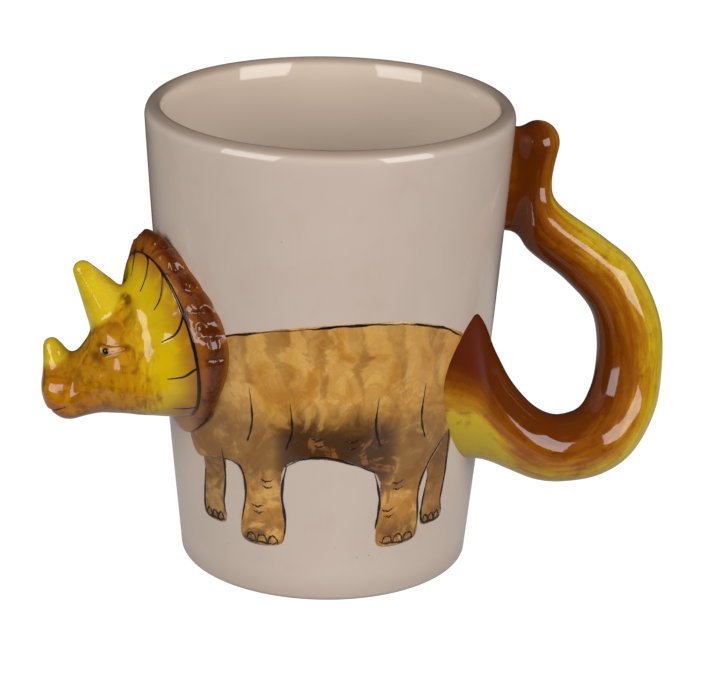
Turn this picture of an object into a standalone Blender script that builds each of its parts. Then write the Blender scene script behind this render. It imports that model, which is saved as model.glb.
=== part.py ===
# Ceramic mug with a horned dinosaur's head on the left of the cup and its tail as the handle on the right.
# The cup stands on Z = 0 with its axis on Z, the head looks toward -X, and the dinosaur's flank faces -Y.

import math

import bmesh
import bpy
from mathutils import Matrix, Vector

MM = 0.001

# Cup
CUP_HEIGHT = 105 * MM
RIM_RADIUS = 40.8 * MM
BASE_RADIUS = 32.3 * MM
WALL_SWELL = 0.55 * MM  # how far the wall bellies out beyond a straight taper, halfway up
WALL = 4.0 * MM
LIP_OUTER_ROUND = 3.0 * MM
FLOOR = 5.0 * MM
FLOOR_FILLET = 6.0 * MM
BASE_EDGE_ROUND = 1.2 * MM
FOOT_WIDTH = 4.5 * MM
FOOT_RECESS = 0.7 * MM
RECESS_DRAFT = 0.5 * MM
CUP_STEPS = 64
INNER_STEPS = 5  # sections of the inner and of the outer wall's profile
OUTER_STEPS = 8
CORNER_STEPS = 3
LIP_STEPS = 4

# Pieces that touch keep this much air between their meshes
JOINT_GAP = 0.3 * MM
# How far a piece runs into the cup before the wall's outline trims it
TRIM_DEPTH = 12 * MM

# Head: the frill's edge is an oval, parallel to the wall where it sits, and the muzzle points to -X
HEAD_AZIMUTH = math.radians(29)  # from -X toward -Y
HEAD_HEIGHT = 57.0 * MM
FRILL_STAND = 3.3 * MM  # from the wall to the middle of the oval
FRILL_LEAN = math.radians(10.5)
FRILL_HALF_WIDTH = 17.5 * MM
FRILL_HALF_HEIGHT = 19.1 * MM
HEAD_WALL = 3.5 * MM
HEAD_STRAIGHT_FROM = 12.5 * MM  # sections further forward than this no longer turn with the frill
HEAD_SIDES = 32
HEAD_STEPS = 2

# Reach forward of the frill, crown and throat above its middle, half width, narrowing of the upper half
HEAD_SECTIONS = (
    (2.2 * MM, 16.6 * MM, -18.9 * MM, 16.0 * MM, 0.12),
    (5.5 * MM, 12.6 * MM, -17.8 * MM, 14.4 * MM, 0.22),
    (9.0 * MM, 8.2 * MM, -17.1 * MM, 12.8 * MM, 0.24),
    (12.5 * MM, 4.2 * MM, -17.2 * MM, 11.4 * MM, 0.22),
    (16.0 * MM, -0.6 * MM, -18.1 * MM, 10.0 * MM, 0.20),
    (19.2 * MM, -5.0 * MM, -19.1 * MM, 8.8 * MM, 0.15),
    (22.0 * MM, -6.3 * MM, -18.7 * MM, 8.3 * MM, 0.10),
    (24.4 * MM, -7.2 * MM, -16.8 * MM, 7.2 * MM, 0.05),
    (25.8 * MM, -9.0 * MM, -14.5 * MM, 4.6 * MM, 0.0),
    (26.3 * MM, -10.7 * MM, -12.7 * MM, 1.8 * MM, 0.0),
)
HEAD_CAVITY_REACH = 22.0 * MM

# Roll of clay round the frill
RIM_BAND = 4.5 * MM  # thickness of the roll, from its hollow middle to the frill's edge
RIM_LUMPS = 20
RIM_LUMP_HEIGHT = 0.7 * MM
RIM_POINTS_PER_LUMP = 5
WALL_SEARCH = 0.001 * MM
LUMPS_FADE_BELOW = 0.25  # how high on the oval the lumps begin to fade, and over how much of it they do
LUMPS_FADE_OVER = 0.8
# How far its crest stands out beyond the frill's edge, at equal angles from the near side up over the top
RIM_CREST = (
    0.4 * MM, -0.6 * MM, -0.9 * MM, 3.0 * MM, 3.4 * MM, 2.4 * MM,
    0.8 * MM, 1.2 * MM, 3.6 * MM, 4.4 * MM, 2.4 * MM, 0.4 * MM,
)
# Its section: share of the crest's rise, and share of the way from the frill's edge to the wall
RIM_SECTION = ((0.40, 0.2), (0.85, 0.5), (1.0, 0.8), (0.85, 1.0))

# Horns: middle of the rounded tip from the frill's middle, forward lean, tip radius, half angle of the cone
BROW_HORN_REACH = 16.9 * MM
BROW_HORN_RISE = 14.5 * MM
BROW_HORN_LEAN = math.radians(34)
BROW_HORN_TIP = 2.0 * MM
BROW_HORN_CONE = math.radians(18)
BROW_HORN_LENGTH = 15.0 * MM
NOSE_HORN_REACH = 23.9 * MM
NOSE_HORN_RISE = -3.0 * MM
NOSE_HORN_LEAN = math.radians(20)
NOSE_HORN_TIP = 1.9 * MM
NOSE_HORN_CONE = math.radians(23)
NOSE_HORN_LENGTH = 6.0 * MM
HORN_STEPS = 20
HORN_TIP_STEPS = 4

# Eyes: small beads, each half sunk in a socket of the head
EYE_REACH = 11.9 * MM
EYE_RISE = -1.0 * MM
EYE_RADIUS = 1.5 * MM
EYE_PROUD = 0.7 * MM
EYE_STEPS = 7

# Tail, in a frame that starts at the wall, halfway up the root
TAIL_HEIGHT = 45.0 * MM
TAIL_SIDES = 20
TAIL_STEPS = 3
TAIL_TIP_STEPS = 4
TAIL_TIP_ROUND = math.radians(82)  # how far the tip's dome goes before its flat cap
TAIL_FLATNESS = 0.95  # half width over half thickness, where a station gives no width of its own

# Outer edge and inner edge (out, side, up), half width or None, narrowing toward the inner edge
TAIL_STATIONS = (
    (13.9 * MM, -0.5 * MM, 52.4 * MM, 4.4 * MM, -0.5 * MM, 52.2 * MM, None, 0.0),
    (12.5 * MM, -1.0 * MM, 43.0 * MM, 5.1 * MM, -1.0 * MM, 42.3 * MM, None, 0.0),
    (14.5 * MM, -2.5 * MM, 38.0 * MM, 6.1 * MM, -2.5 * MM, 30.3 * MM, None, 0.0),
    (24.6 * MM, -3.5 * MM, 30.9 * MM, 15.7 * MM, -3.5 * MM, 21.7 * MM, None, 0.0),
    (32.1 * MM, -5.0 * MM, 24.4 * MM, 21.9 * MM, -5.0 * MM, 14.9 * MM, None, 0.0),
    (37.8 * MM, -7.0 * MM, 12.2 * MM, 23.8 * MM, -7.0 * MM, 7.3 * MM, None, 0.0),
    (38.4 * MM, -9.0 * MM, -1.2 * MM, 23.4 * MM, -9.0 * MM, -0.1 * MM, None, 0.0),
    (36.5 * MM, -10.3 * MM, -9.3 * MM, 21.9 * MM, -10.3 * MM, -4.2 * MM, None, 0.0),
    (31.9 * MM, -11.6 * MM, -16.6 * MM, 20.1 * MM, -11.9 * MM, -6.1 * MM, None, 0.0),
    (25.2 * MM, -12.6 * MM, -21.0 * MM, 17.6 * MM, -13.3 * MM, -7.0 * MM, None, 0.0),
    (17.1 * MM, -13.1 * MM, -22.5 * MM, 13.9 * MM, -14.7 * MM, -6.8 * MM, 7.8 * MM, 0.1),
    (10.8 * MM, -13.0 * MM, -22.2 * MM, 9.4 * MM, -16.1 * MM, -3.9 * MM, 8.2 * MM, 0.25),
    (5.1 * MM, -12.7 * MM, -20.2 * MM, 4.5 * MM, -17.3 * MM, 2.1 * MM, 8.8 * MM, 0.35),
    (0.6 * MM, -12.4 * MM, -18.5 * MM, 0.7 * MM, -18.1 * MM, 9.4 * MM, 9.4 * MM, 0.45),
    (-3.1 * MM, -12.2 * MM, -17.9 * MM, -3.8 * MM, -18.7 * MM, 18.5 * MM, 10.0 * MM, 0.5),
    (-14.0 * MM, -12.0 * MM, -17.5 * MM, -14.0 * MM, -19.3 * MM, 21.5 * MM, 10.4 * MM, 0.5),
)

# Web of clay between the upper tail and the wall: out from the wall, bottom, top, half thickness
WEB_SECTIONS = (
    (9.0 * MM, 31.0 * MM, 54.4 * MM, 3.0 * MM),
    (6.0 * MM, 30.4 * MM, 55.0 * MM, 3.8 * MM),
    (4.2 * MM, 31.2 * MM, 55.6 * MM, 4.5 * MM),
    (2.4 * MM, 31.8 * MM, 56.2 * MM, 5.0 * MM),
    (-4.0 * MM, 31.9 * MM, 56.4 * MM, 5.4 * MM),
)
WEB_SIDE = -1.0 * MM
WEB_SIDES = 20
WEB_SQUARENESS = 3.0

SHARP_FROM = math.radians(40)

# Glazes: colour, roughness
GLAZES = {
    "cup": ((0.60, 0.52, 0.45), 0.10),
    "head": ((0.62, 0.40, 0.05), 0.12),
    "frill_rim": ((0.22, 0.07, 0.012), 0.12),
    "nose_horn": ((0.68, 0.55, 0.03), 0.12),
    "brow_horn": ((0.70, 0.56, 0.03), 0.12),
    "eye": ((0.01, 0.008, 0.006), 0.08),
    "tail_handle": ((0.38, 0.16, 0.02), 0.12),
}


def clear_scene():
    for item in list(bpy.data.objects):
        bpy.data.objects.remove(item)


def new_collection(name, hidden=False):
    collection = bpy.data.collections.new(name)
    bpy.context.scene.collection.children.link(collection)
    collection.hide_render = hidden
    return collection


def glaze(name):
    colour, roughness = GLAZES[name]
    material = bpy.data.materials.new(f"{name}_glaze")
    material.use_nodes = True
    shader = material.node_tree.nodes["Principled BSDF"]
    shader.inputs["Base Color"].default_value = (*colour, 1)
    shader.inputs["Roughness"].default_value = roughness
    shader.inputs["Metallic"].default_value = 0
    return material


def add_object(name, mesh, collection, material=None):
    piece = bpy.data.objects.new(name, mesh)
    collection.objects.link(piece)
    if material:
        mesh.materials.append(material)
        mesh.shade_smooth()
        mesh.set_sharp_from_angle(angle=SHARP_FROM)
    else:
        piece.display_type = "WIRE"
        piece.hide_render = True
    return piece


def boolean(piece, other, operation):
    modifier = piece.modifiers.new(f"{operation.lower()}_{other.name}", "BOOLEAN")
    modifier.operation = operation
    modifier.object = other


def loft(name, rings, closed=False):
    """A skin over rings that have equally many points, capped at its ends or joined round into a band."""
    shape = bmesh.new()
    loops = [[shape.verts.new(point) for point in ring] for ring in rings]
    pairs = list(zip(loops, loops[1:]))
    if closed:
        pairs.append((loops[-1], loops[0]))
    else:
        shape.faces.new(loops[0])
        shape.faces.new(loops[-1])
    for near, far in pairs:
        for i, corner in enumerate(near):
            j = (i + 1) % len(near)
            shape.faces.new((corner, near[j], far[j], far[i]))
    bmesh.ops.recalc_face_normals(shape, faces=shape.faces)
    mesh = bpy.data.meshes.new(name)
    shape.to_mesh(mesh)
    shape.free()
    return mesh


def turned(name, profile, collection, steps, material=None):
    """A profile of (radius, height) points, turned once round Z."""
    mesh = bpy.data.meshes.new(name)
    points = [(radius, 0, height) for radius, height in profile]
    mesh.from_pydata(points, [(i, i + 1) for i in range(len(points) - 1)], [])
    piece = add_object(name, mesh, collection, material)
    screw = piece.modifiers.new("turn", "SCREW")
    screw.axis = "Z"
    screw.steps = screw.render_steps = steps
    screw.use_merge_vertices = True
    screw.merge_threshold = 0.0001 * MM
    screw.use_smooth_shade = True
    return piece


def catmull_rom(before, start, end, after, t):
    return tuple(
        0.5 * (2 * b + (c - a) * t + (2 * a - 5 * b + 4 * c - d) * t**2 + (3 * b - a - 3 * c + d) * t**3)
        for a, b, c, d in zip(before, start, end, after)
    )


def between(stations, steps):
    """Smooth points through the stations, with the stations themselves kept."""
    rows = [stations[0], *stations, stations[-1]]
    found = []
    for four in zip(rows, rows[1:], rows[2:], rows[3:]):
        found += [catmull_rom(*four, k / steps) for k in range(steps)]
    return [*found, stations[-1]]


def smooth_step(t):
    t = min(max(t, 0), 1)
    return t * t * (3 - 2 * t)


def arc(centre, radius, start, end, steps):
    angles = [math.radians(start + (end - start) * k / steps) for k in range(steps + 1)]
    return [(centre[0] + radius * math.cos(a), centre[1] + radius * math.sin(a)) for a in angles]


def wall_radius(height):
    share = height / CUP_HEIGHT
    return BASE_RADIUS + (RIM_RADIUS - BASE_RADIUS) * share + 4 * WALL_SWELL * share * (1 - share)


def wall_heights(low, high, steps):
    return [low + (high - low) * k / steps for k in range(steps + 1)]


def make_cup(collection):
    inner_lip = WALL - LIP_OUTER_ROUND
    inside_heights = wall_heights(FLOOR + FLOOR_FILLET, CUP_HEIGHT - inner_lip, INNER_STEPS)
    outside_heights = wall_heights(CUP_HEIGHT - LIP_OUTER_ROUND, BASE_EDGE_ROUND, OUTER_STEPS)
    inside = [(wall_radius(z) - WALL, z) for z in inside_heights]
    outside = [(wall_radius(z), z) for z in outside_heights]
    lip_middle = wall_radius(CUP_HEIGHT) - LIP_OUTER_ROUND
    recess_edge = BASE_RADIUS - FOOT_WIDTH
    profile = [
        (0, FLOOR),
        *arc((inside[0][0] - FLOOR_FILLET, inside[0][1]), FLOOR_FILLET, -90, 0, CORNER_STEPS)[:-1],
        *inside,
        *arc((lip_middle, CUP_HEIGHT - inner_lip), inner_lip, 180, 90, CORNER_STEPS)[1:],
        *arc((lip_middle, CUP_HEIGHT - LIP_OUTER_ROUND), LIP_OUTER_ROUND, 90, 0, LIP_STEPS)[1:-1],
        *outside,
        *arc((outside[-1][0] - BASE_EDGE_ROUND, BASE_EDGE_ROUND), BASE_EDGE_ROUND, 0, -90, CORNER_STEPS)[1:],
        (recess_edge, 0),
        (recess_edge - RECESS_DRAFT, FOOT_RECESS),
        (0, FOOT_RECESS),
    ]
    return turned("cup", profile, collection, CUP_STEPS, glaze("cup"))


def make_cup_cutter(collection):
    """The cup's outline, grown by the joint's gap and longer at both ends. It trims what sits on the wall."""
    spare = 2 * TRIM_DEPTH
    heights = wall_heights(CUP_HEIGHT, 0, OUTER_STEPS)
    top, bottom = wall_radius(CUP_HEIGHT), wall_radius(0)
    profile = [
        (0, CUP_HEIGHT + spare),
        (top + JOINT_GAP, CUP_HEIGHT + spare),
        *[(wall_radius(z) + JOINT_GAP, z) for z in heights],
        (bottom + JOINT_GAP, -spare),
        (0, -spare),
    ]
    return turned("cup_outline", profile, collection, 2 * CUP_STEPS)


def frill_frame():
    """The middle of the frill's edge, the way its oval faces, and its sideways and upward directions."""
    outward = Vector((-math.cos(HEAD_AZIMUTH), -math.sin(HEAD_AZIMUTH), 0))
    side = Vector((math.sin(HEAD_AZIMUTH), -math.cos(HEAD_AZIMUTH), 0))
    middle = outward * (wall_radius(HEAD_HEIGHT) + FRILL_STAND) + Vector((0, 0, HEAD_HEIGHT))
    upward = Vector((0, 0, math.cos(FRILL_LEAN))) + outward * math.sin(FRILL_LEAN)
    facing = outward * math.cos(FRILL_LEAN) - Vector((0, 0, math.sin(FRILL_LEAN)))
    return middle, facing, side, upward


def head_ring(section, grown=0.0):
    """One cross-section of the head, grown or shrunk. It turns from the frill's plane to square across."""
    reach, crown, throat, half_width, narrowing = section
    middle = frill_frame()[0]
    turn = 1 - smooth_step(reach / HEAD_STRAIGHT_FROM)
    yaw, lean = HEAD_AZIMUTH * turn, FRILL_LEAN * turn
    forward = Vector((-math.cos(yaw), -math.sin(yaw), 0))
    side = Vector((math.sin(yaw), -math.cos(yaw), 0))
    upward = Vector((0, 0, math.cos(lean))) + forward * math.sin(lean)
    centre = middle + Vector((-reach, 0, 0)) + upward * (crown + throat) / 2
    half_height = (crown - throat) / 2 + grown
    ring = []
    for k in range(HEAD_SIDES):
        angle = 2 * math.pi * k / HEAD_SIDES
        across = (half_width + grown) * math.cos(angle) * (1 - narrowing * math.sin(angle))
        ring.append(centre + side * across + upward * half_height * math.sin(angle))
    return ring


def head_sections():
    frill = (0.0, FRILL_HALF_HEIGHT, -FRILL_HALF_HEIGHT, FRILL_HALF_WIDTH, 0.0)
    return between([frill, *HEAD_SECTIONS], HEAD_STEPS)


def make_head(collection, cutters):
    sections = head_sections()
    head = add_object("head", loft("head", [head_ring(s) for s in sections]), collection, glaze("head"))

    facing = frill_frame()[1]
    mouth, *hollow = [head_ring(s, -HEAD_WALL) for s in sections if s[0] <= HEAD_CAVITY_REACH]
    behind = [point - facing * HEAD_WALL for point in mouth]
    cavity = add_object("head_cavity", loft("head_cavity", [behind, *hollow]), cutters)
    boolean(head, cavity, "DIFFERENCE")

    grown = [head_ring(s, JOINT_GAP) for s in sections]
    tip = [point + Vector((-JOINT_GAP, 0, 0)) for point in grown[-1]]
    outline = add_object("head_outline", loft("head_outline", [*grown, tip]), cutters)
    return head, outline


def lump(angle):
    """Height of the lumps along the roll: full over the top half, fading to none under the chin."""
    fade = smooth_step((math.sin(angle) + LUMPS_FADE_BELOW) / LUMPS_FADE_OVER)
    return RIM_LUMP_HEIGHT * fade * (abs(math.sin(RIM_LUMPS * angle / 2)) - 0.5)


def way_to_wall(start, direction):
    """How far it is from a point outside the cup to its wall."""
    near, far = 0.0, RIM_RADIUS
    while far - near > WALL_SEARCH:
        middle = (near + far) / 2
        point = start + direction * middle
        if math.hypot(point.x, point.y) > wall_radius(point.z):
            near = middle
        else:
            far = middle
    return near


def make_frill_rim(collection, cup_outline):
    middle, facing, side, upward = frill_frame()
    count = RIM_LUMPS * RIM_POINTS_PER_LUMP
    crests = [(crest,) for crest in RIM_CREST] * 2
    rings = []
    for k in range(count):
        angle = 2 * math.pi * k / count
        c, s = math.cos(angle), math.sin(angle)
        edge = middle + side * FRILL_HALF_WIDTH * c + upward * FRILL_HALF_HEIGHT * s
        out = (side * c / FRILL_HALF_WIDTH + upward * s / FRILL_HALF_HEIGHT).normalized()
        place = len(RIM_CREST) * (1 + k / count)
        first = int(place)
        crest = catmull_rom(*[crests[(first + i) % len(crests)] for i in (-1, 0, 1, 2)], place - first)[0]
        crest += lump(angle)
        depth = way_to_wall(edge, -facing)
        back = depth + TRIM_DEPTH
        outline = [
            (-RIM_BAND, JOINT_GAP),
            (0, JOINT_GAP),
            *[(crest * rise, JOINT_GAP + depth * share) for rise, share in RIM_SECTION],
            (crest * RIM_SECTION[-1][0], back),
            (-RIM_BAND, back),
        ]
        rings.append([edge + out * rise - facing * deep for rise, deep in outline])
    rim = add_object("frill_rim", loft("frill_rim", rings, closed=True), collection, glaze("frill_rim"))
    boolean(rim, cup_outline, "DIFFERENCE")
    return rim


def make_horn(name, reach, rise, lean, tip, cone, length, collection, head_outline):
    """A cone with a rounded tip, leaning forward, whose foot is trimmed to the head's surface."""
    foot = tip / math.cos(cone) + length * math.tan(cone)
    ball = arc((0, 0), tip, 90, math.degrees(cone), HORN_TIP_STEPS)
    profile = [*ball, (foot, -length), (0, -length)]
    horn = turned(name, profile, collection, HORN_STEPS, glaze(name))
    middle = frill_frame()[0]
    horn.matrix_world = (
        Matrix.Translation(middle + Vector((-reach, 0, rise))) @ Matrix.Rotation(-lean, 4, "Y")
    )
    boolean(horn, head_outline, "DIFFERENCE")
    return horn


def eye_place(sign):
    """Where the eye on one side meets the head's surface, and which way that surface faces there."""
    sections = head_sections()
    rings = [head_ring(s) for s in sections]
    middle = frill_frame()[0]
    wanted = middle + Vector((-EYE_REACH, 0, EYE_RISE))
    best = min(
        (
            (Vector((point.x - wanted.x, 0, point.z - wanted.z)).length, i, j)
            for i, ring in enumerate(rings)
            for j, point in enumerate(ring)
            if (point.y - middle.y) * sign > 0
        ),
    )
    i, j = best[1], best[2]
    along = rings[i + 1][j] - rings[i - 1][j]
    around = rings[i][(j + 1) % HEAD_SIDES] - rings[i][j - 1]
    facing = along.cross(around).normalized()
    if facing.y * sign < 0:
        facing.negate()
    return rings[i][j], facing


def ball(name, radius, place, facing, collection, material=None):
    shape = bmesh.new()
    bmesh.ops.create_uvsphere(shape, u_segments=2 * EYE_STEPS, v_segments=EYE_STEPS, radius=radius)
    mesh = bpy.data.meshes.new(name)
    shape.to_mesh(mesh)
    shape.free()
    mesh.transform(Matrix.Translation(place) @ facing.to_track_quat("Z", "Y").to_matrix().to_4x4())
    return add_object(name, mesh, collection, material)


def make_eye(name, sign, head, collection, cutters):
    surface, facing = eye_place(sign)
    place = surface - facing * (EYE_RADIUS - EYE_PROUD)
    eye = ball(name, EYE_RADIUS, place, facing, collection, glaze("eye"))
    socket = ball(f"{name}_socket", EYE_RADIUS + JOINT_GAP, place, facing, cutters)
    boolean(head, socket, "DIFFERENCE")
    return eye


def tail_point(out, side, up):
    return Vector((wall_radius(TAIL_HEIGHT) + out, side, TAIL_HEIGHT + up))


def tail_ring(station):
    """A cross-section between the outer and the inner edge. It sharpens into a ridge toward the inner one."""
    outer, inner = tail_point(*station[0:3]), tail_point(*station[3:6])
    half_width, narrowing = station[6:]
    centre, half = (outer + inner) / 2, (inner - outer) / 2
    ring = []
    for k in range(TAIL_SIDES):
        angle = 2 * math.pi * k / TAIL_SIDES
        c, s = math.cos(angle), math.sin(angle)
        across = half_width * c * (1 - narrowing * max(s, 0) ** 2)
        ring.append(centre + half * s + Vector((0, across, 0)))
    return ring


def tail_tip_rings(station, towards):
    """Rings that round the tail off beyond its first station."""
    first, second = tail_ring(station), tail_ring(towards)
    centre = sum(first, Vector()) / TAIL_SIDES
    away = (centre - sum(second, Vector()) / TAIL_SIDES).normalized()
    reach = (first[TAIL_SIDES // 4] - centre).length
    rings = []
    for k in range(TAIL_TIP_STEPS, 0, -1):
        angle = TAIL_TIP_ROUND * k / TAIL_TIP_STEPS
        rings.append(
            [centre + (p - centre) * math.cos(angle) + away * reach * math.sin(angle) for p in first]
        )
    return rings


def tail_stations():
    """The stations, each with a half width in place of None."""
    rows = []
    for station in TAIL_STATIONS:
        half_thickness = (tail_point(*station[0:3]) - tail_point(*station[3:6])).length / 2
        rows.append((*station[:6], station[6] or TAIL_FLATNESS * half_thickness, station[7]))
    return rows


def make_web(cutters):
    rings = []
    for out, low, high, half in WEB_SECTIONS:
        ring = []
        for k in range(WEB_SIDES):
            angle = 2 * math.pi * k / WEB_SIDES
            c, s = math.cos(angle), math.sin(angle)
            size = (abs(c) ** WEB_SQUARENESS + abs(s) ** WEB_SQUARENESS) ** (-1 / WEB_SQUARENESS)
            up = (low + high) / 2 + (high - low) / 2 * s * size
            ring.append(tail_point(out, WEB_SIDE + half * c * size, up))
        rings.append(ring)
    return add_object("tail_web", loft("tail_web", rings), cutters)


def make_tail(collection, cutters, cup_outline):
    stations = tail_stations()
    rings = [
        *tail_tip_rings(stations[0], stations[1]),
        *[tail_ring(s) for s in between(stations, TAIL_STEPS)],
    ]
    tail = add_object("tail_handle", loft("tail_handle", rings), collection, glaze("tail_handle"))
    boolean(tail, make_web(cutters), "UNION")
    boolean(tail, cup_outline, "DIFFERENCE")
    return tail


def make_mug():
    clear_scene()
    pieces = new_collection("dinosaur_mug")
    cutters = new_collection("cutters", hidden=True)

    make_cup(pieces)
    cup_outline = make_cup_cutter(cutters)
    head, head_outline = make_head(pieces, cutters)
    make_frill_rim(pieces, cup_outline)
    make_horn(
        "nose_horn", NOSE_HORN_REACH, NOSE_HORN_RISE, NOSE_HORN_LEAN, NOSE_HORN_TIP, NOSE_HORN_CONE,
        NOSE_HORN_LENGTH, pieces, head_outline,
    )
    make_horn(
        "brow_horn", BROW_HORN_REACH, BROW_HORN_RISE, BROW_HORN_LEAN, BROW_HORN_TIP, BROW_HORN_CONE,
        BROW_HORN_LENGTH, pieces, head_outline,
    )
    make_eye("eye_left", 1, head, pieces, cutters)
    make_eye("eye_right", -1, head, pieces, cutters)
    make_tail(pieces, cutters, cup_outline)


make_mug()
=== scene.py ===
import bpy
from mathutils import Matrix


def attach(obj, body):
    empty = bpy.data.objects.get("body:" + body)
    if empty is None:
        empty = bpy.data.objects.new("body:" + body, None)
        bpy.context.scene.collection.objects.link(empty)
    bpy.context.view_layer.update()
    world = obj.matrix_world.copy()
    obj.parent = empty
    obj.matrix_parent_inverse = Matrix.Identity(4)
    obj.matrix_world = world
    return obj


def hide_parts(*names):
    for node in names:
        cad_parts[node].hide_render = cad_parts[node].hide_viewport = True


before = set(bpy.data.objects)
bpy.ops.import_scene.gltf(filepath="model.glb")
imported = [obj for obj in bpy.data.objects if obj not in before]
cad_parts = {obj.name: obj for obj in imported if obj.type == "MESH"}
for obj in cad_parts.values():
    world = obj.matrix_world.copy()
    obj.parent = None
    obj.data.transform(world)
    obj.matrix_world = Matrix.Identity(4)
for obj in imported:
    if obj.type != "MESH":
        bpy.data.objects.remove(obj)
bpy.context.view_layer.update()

# Dinosaur mug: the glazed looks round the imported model.
# Metres, Z up, the cup's axis on Z. The muzzle points to -X, the tail to +X and the flank to -Y.
import math

import bmesh
import bpy
import numpy as np
from mathutils import Matrix, Vector, kdtree
from mathutils.bvhtree import BVHTree

mm = 0.001
print("frame loaded:", ", ".join(sorted(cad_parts)))


# Mesh helpers

def intoScene(thing):
    bpy.context.scene.collection.objects.link(thing)
    return thing


def newPiece(name, mesh, materials, slotName=None, stands=()):
    piece = intoScene(bpy.data.objects.new(name, mesh))
    for material in materials:
        mesh.materials.append(material)
    mesh.shade_smooth()
    if slotName:
        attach(piece, "root")
    if stands:
        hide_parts(*stands)
    return piece


def shapeOf(*meshes):
    shape = bmesh.new()
    for mesh in meshes:
        shape.from_mesh(mesh)
    return shape


def meshOf(name, shape):
    mesh = bpy.data.meshes.new(name)
    shape.to_mesh(mesh)
    shape.free()
    return mesh


def joined(name, meshes):
    return meshOf(name, shapeOf(*meshes))


def skin(name, rings, closed=False):  # a skin over rings of equally many points, capped or joined round
    count = len(rings[0])
    points = np.concatenate([np.asarray(ring, float) for ring in rings])
    pairs = [(i, i + 1) for i in range(len(rings) - 1)]
    faces = []
    if closed:
        pairs.append((len(rings) - 1, 0))
    else:
        faces += [tuple(range(count)), tuple(range((len(rings) - 1) * count, len(rings) * count))]
    for near, far in pairs:
        for k in range(count):
            j = (k + 1) % count
            faces.append((near * count + k, near * count + j, far * count + j, far * count + k))
    mesh = bpy.data.meshes.new(name)
    mesh.from_pydata(points.tolist(), [], faces)
    shape = shapeOf(mesh)
    bmesh.ops.recalc_face_normals(shape, faces=shape.faces)
    shape.to_mesh(mesh)
    shape.free()
    return mesh


def withModifier(mesh, kind, **settings):  # the mesh as the modifier leaves it
    piece = intoScene(bpy.data.objects.new(mesh.name, mesh))
    modifier = piece.modifiers.new(kind.lower(), kind)
    for key, value in settings.items():
        setattr(modifier, key, value)
    graph = bpy.context.evaluated_depsgraph_get()
    finished = bpy.data.meshes.new_from_object(piece.evaluated_get(graph), depsgraph=graph)
    bpy.data.objects.remove(piece)
    return finished


def cutBy(mesh, cutterMesh):
    cutter = intoScene(bpy.data.objects.new("cutter", cutterMesh))
    finished = withModifier(mesh, "BOOLEAN", operation="DIFFERENCE", object=cutter, solver="EXACT")
    bpy.data.objects.remove(cutter)
    return finished


def vectorsOf(items, key):
    vectors = np.empty(len(items) * 3)
    items.foreach_get(key, vectors)
    return vectors.reshape(-1, 3)


def pointsOf(mesh):
    return vectorsOf(mesh.vertices, "co")


def setPoints(mesh, points):
    mesh.vertices.foreach_set("co", np.asarray(points, float).ravel())
    mesh.update()


def relax(mesh, weights, rounds):  # draws each point toward its neighbours' mean
    points = pointsOf(mesh)
    edges = np.empty(len(mesh.edges) * 2, np.int32)
    mesh.edges.foreach_get("vertices", edges)
    near, far = edges[0::2], edges[1::2]
    size = len(points)
    share = np.broadcast_to(np.asarray(weights, float), size)[:, None]
    count = np.bincount(edges, minlength=size)[:, None]
    for _ in range(rounds):
        sums = [
            np.bincount(near, part[far], size) + np.bincount(far, part[near], size) for part in points.T
        ]
        points += share * (np.stack(sums, axis=1) / count - points)
    setPoints(mesh, points)


def borrow(mesh, sourcePoints, sourceValues, count=4):  # values of the nearest source points
    tree = kdtree.KDTree(len(sourcePoints))
    for i, point in enumerate(sourcePoints):
        tree.insert(point, i)
    tree.balance()
    values = np.asarray(sourceValues, float)
    found = []
    for point in pointsOf(mesh):
        hits = tree.find_n(point, count)
        weights = np.array([1 / (hit[2] + 0.02 * mm) for hit in hits])
        rows = values[[hit[1] for hit in hits]]
        found.append((rows * weights[:, None]).sum(0) / weights.sum())
    return np.array(found)


def treeOf(mesh):
    shape = shapeOf(mesh)
    tree = BVHTree.FromBMesh(shape)
    shape.free()
    return tree


def distanceTo(mesh, points):
    tree = treeOf(mesh)
    return np.array([tree.find_nearest(point)[3] for point in points])


def moulded(name, skins, settings):  # two skins as one, with a fillet where they meet, and how far each is
    mesh = withModifier(joined(name, skins), "REMESH", mode="VOXEL", voxel_size=settings["voxel"])
    relax(mesh, *settings["smoothing"])
    points = pointsOf(mesh)
    away = [distanceTo(part, points) for part in skins]
    reach, share, rounds, lowest = settings["fillet"]
    seam = 1 - ease(np.maximum(*away) / reach)
    relax(mesh, share * seam * (points[:, 2] > lowest), rounds)
    return mesh, *away


def keepMap(mesh, name, values):  # a value or a vector at each point, for the paint to read
    values = np.asarray(values, np.float32)
    kind, key = ("FLOAT", "value") if values.ndim == 1 else ("FLOAT_VECTOR", "vector")
    layer = mesh.attributes.new(name, kind, "POINT")
    layer.data.foreach_set(key, values.ravel())


def ease(t):
    t = np.clip(t, 0, 1)
    return t * t * (3 - 2 * t)


def unit(vectors):
    return vectors / np.linalg.norm(vectors, axis=-1, keepdims=True)


def anglesRound(count):
    return np.linspace(0, 2 * math.pi, count, endpoint=False)


def ringAt(radius, height, angles):
    return np.stack([radius * np.cos(angles), radius * np.sin(angles), np.full_like(angles, height)], axis=1)


def blendRow(before, start, end, after, t):
    return 0.5 * (
        2 * start + (end - before) * t + (2 * before - 5 * start + 4 * end - after) * t**2
        + (3 * start - before - 3 * end + after) * t**3
    )


def smoothRows(rows, steps, closed=False):  # smooth points through the rows
    rows = np.asarray(rows, float)
    if closed:
        padded = np.concatenate([rows[-1:], rows, rows[:2]])
    else:
        padded = np.concatenate([rows[:1], rows, rows[-1:]])
    found = []
    for four in zip(padded, padded[1:], padded[2:], padded[3:]):
        found += [blendRow(*four, k / steps) for k in range(steps)]
    return np.array(found if closed else [*found, rows[-1]])


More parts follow.
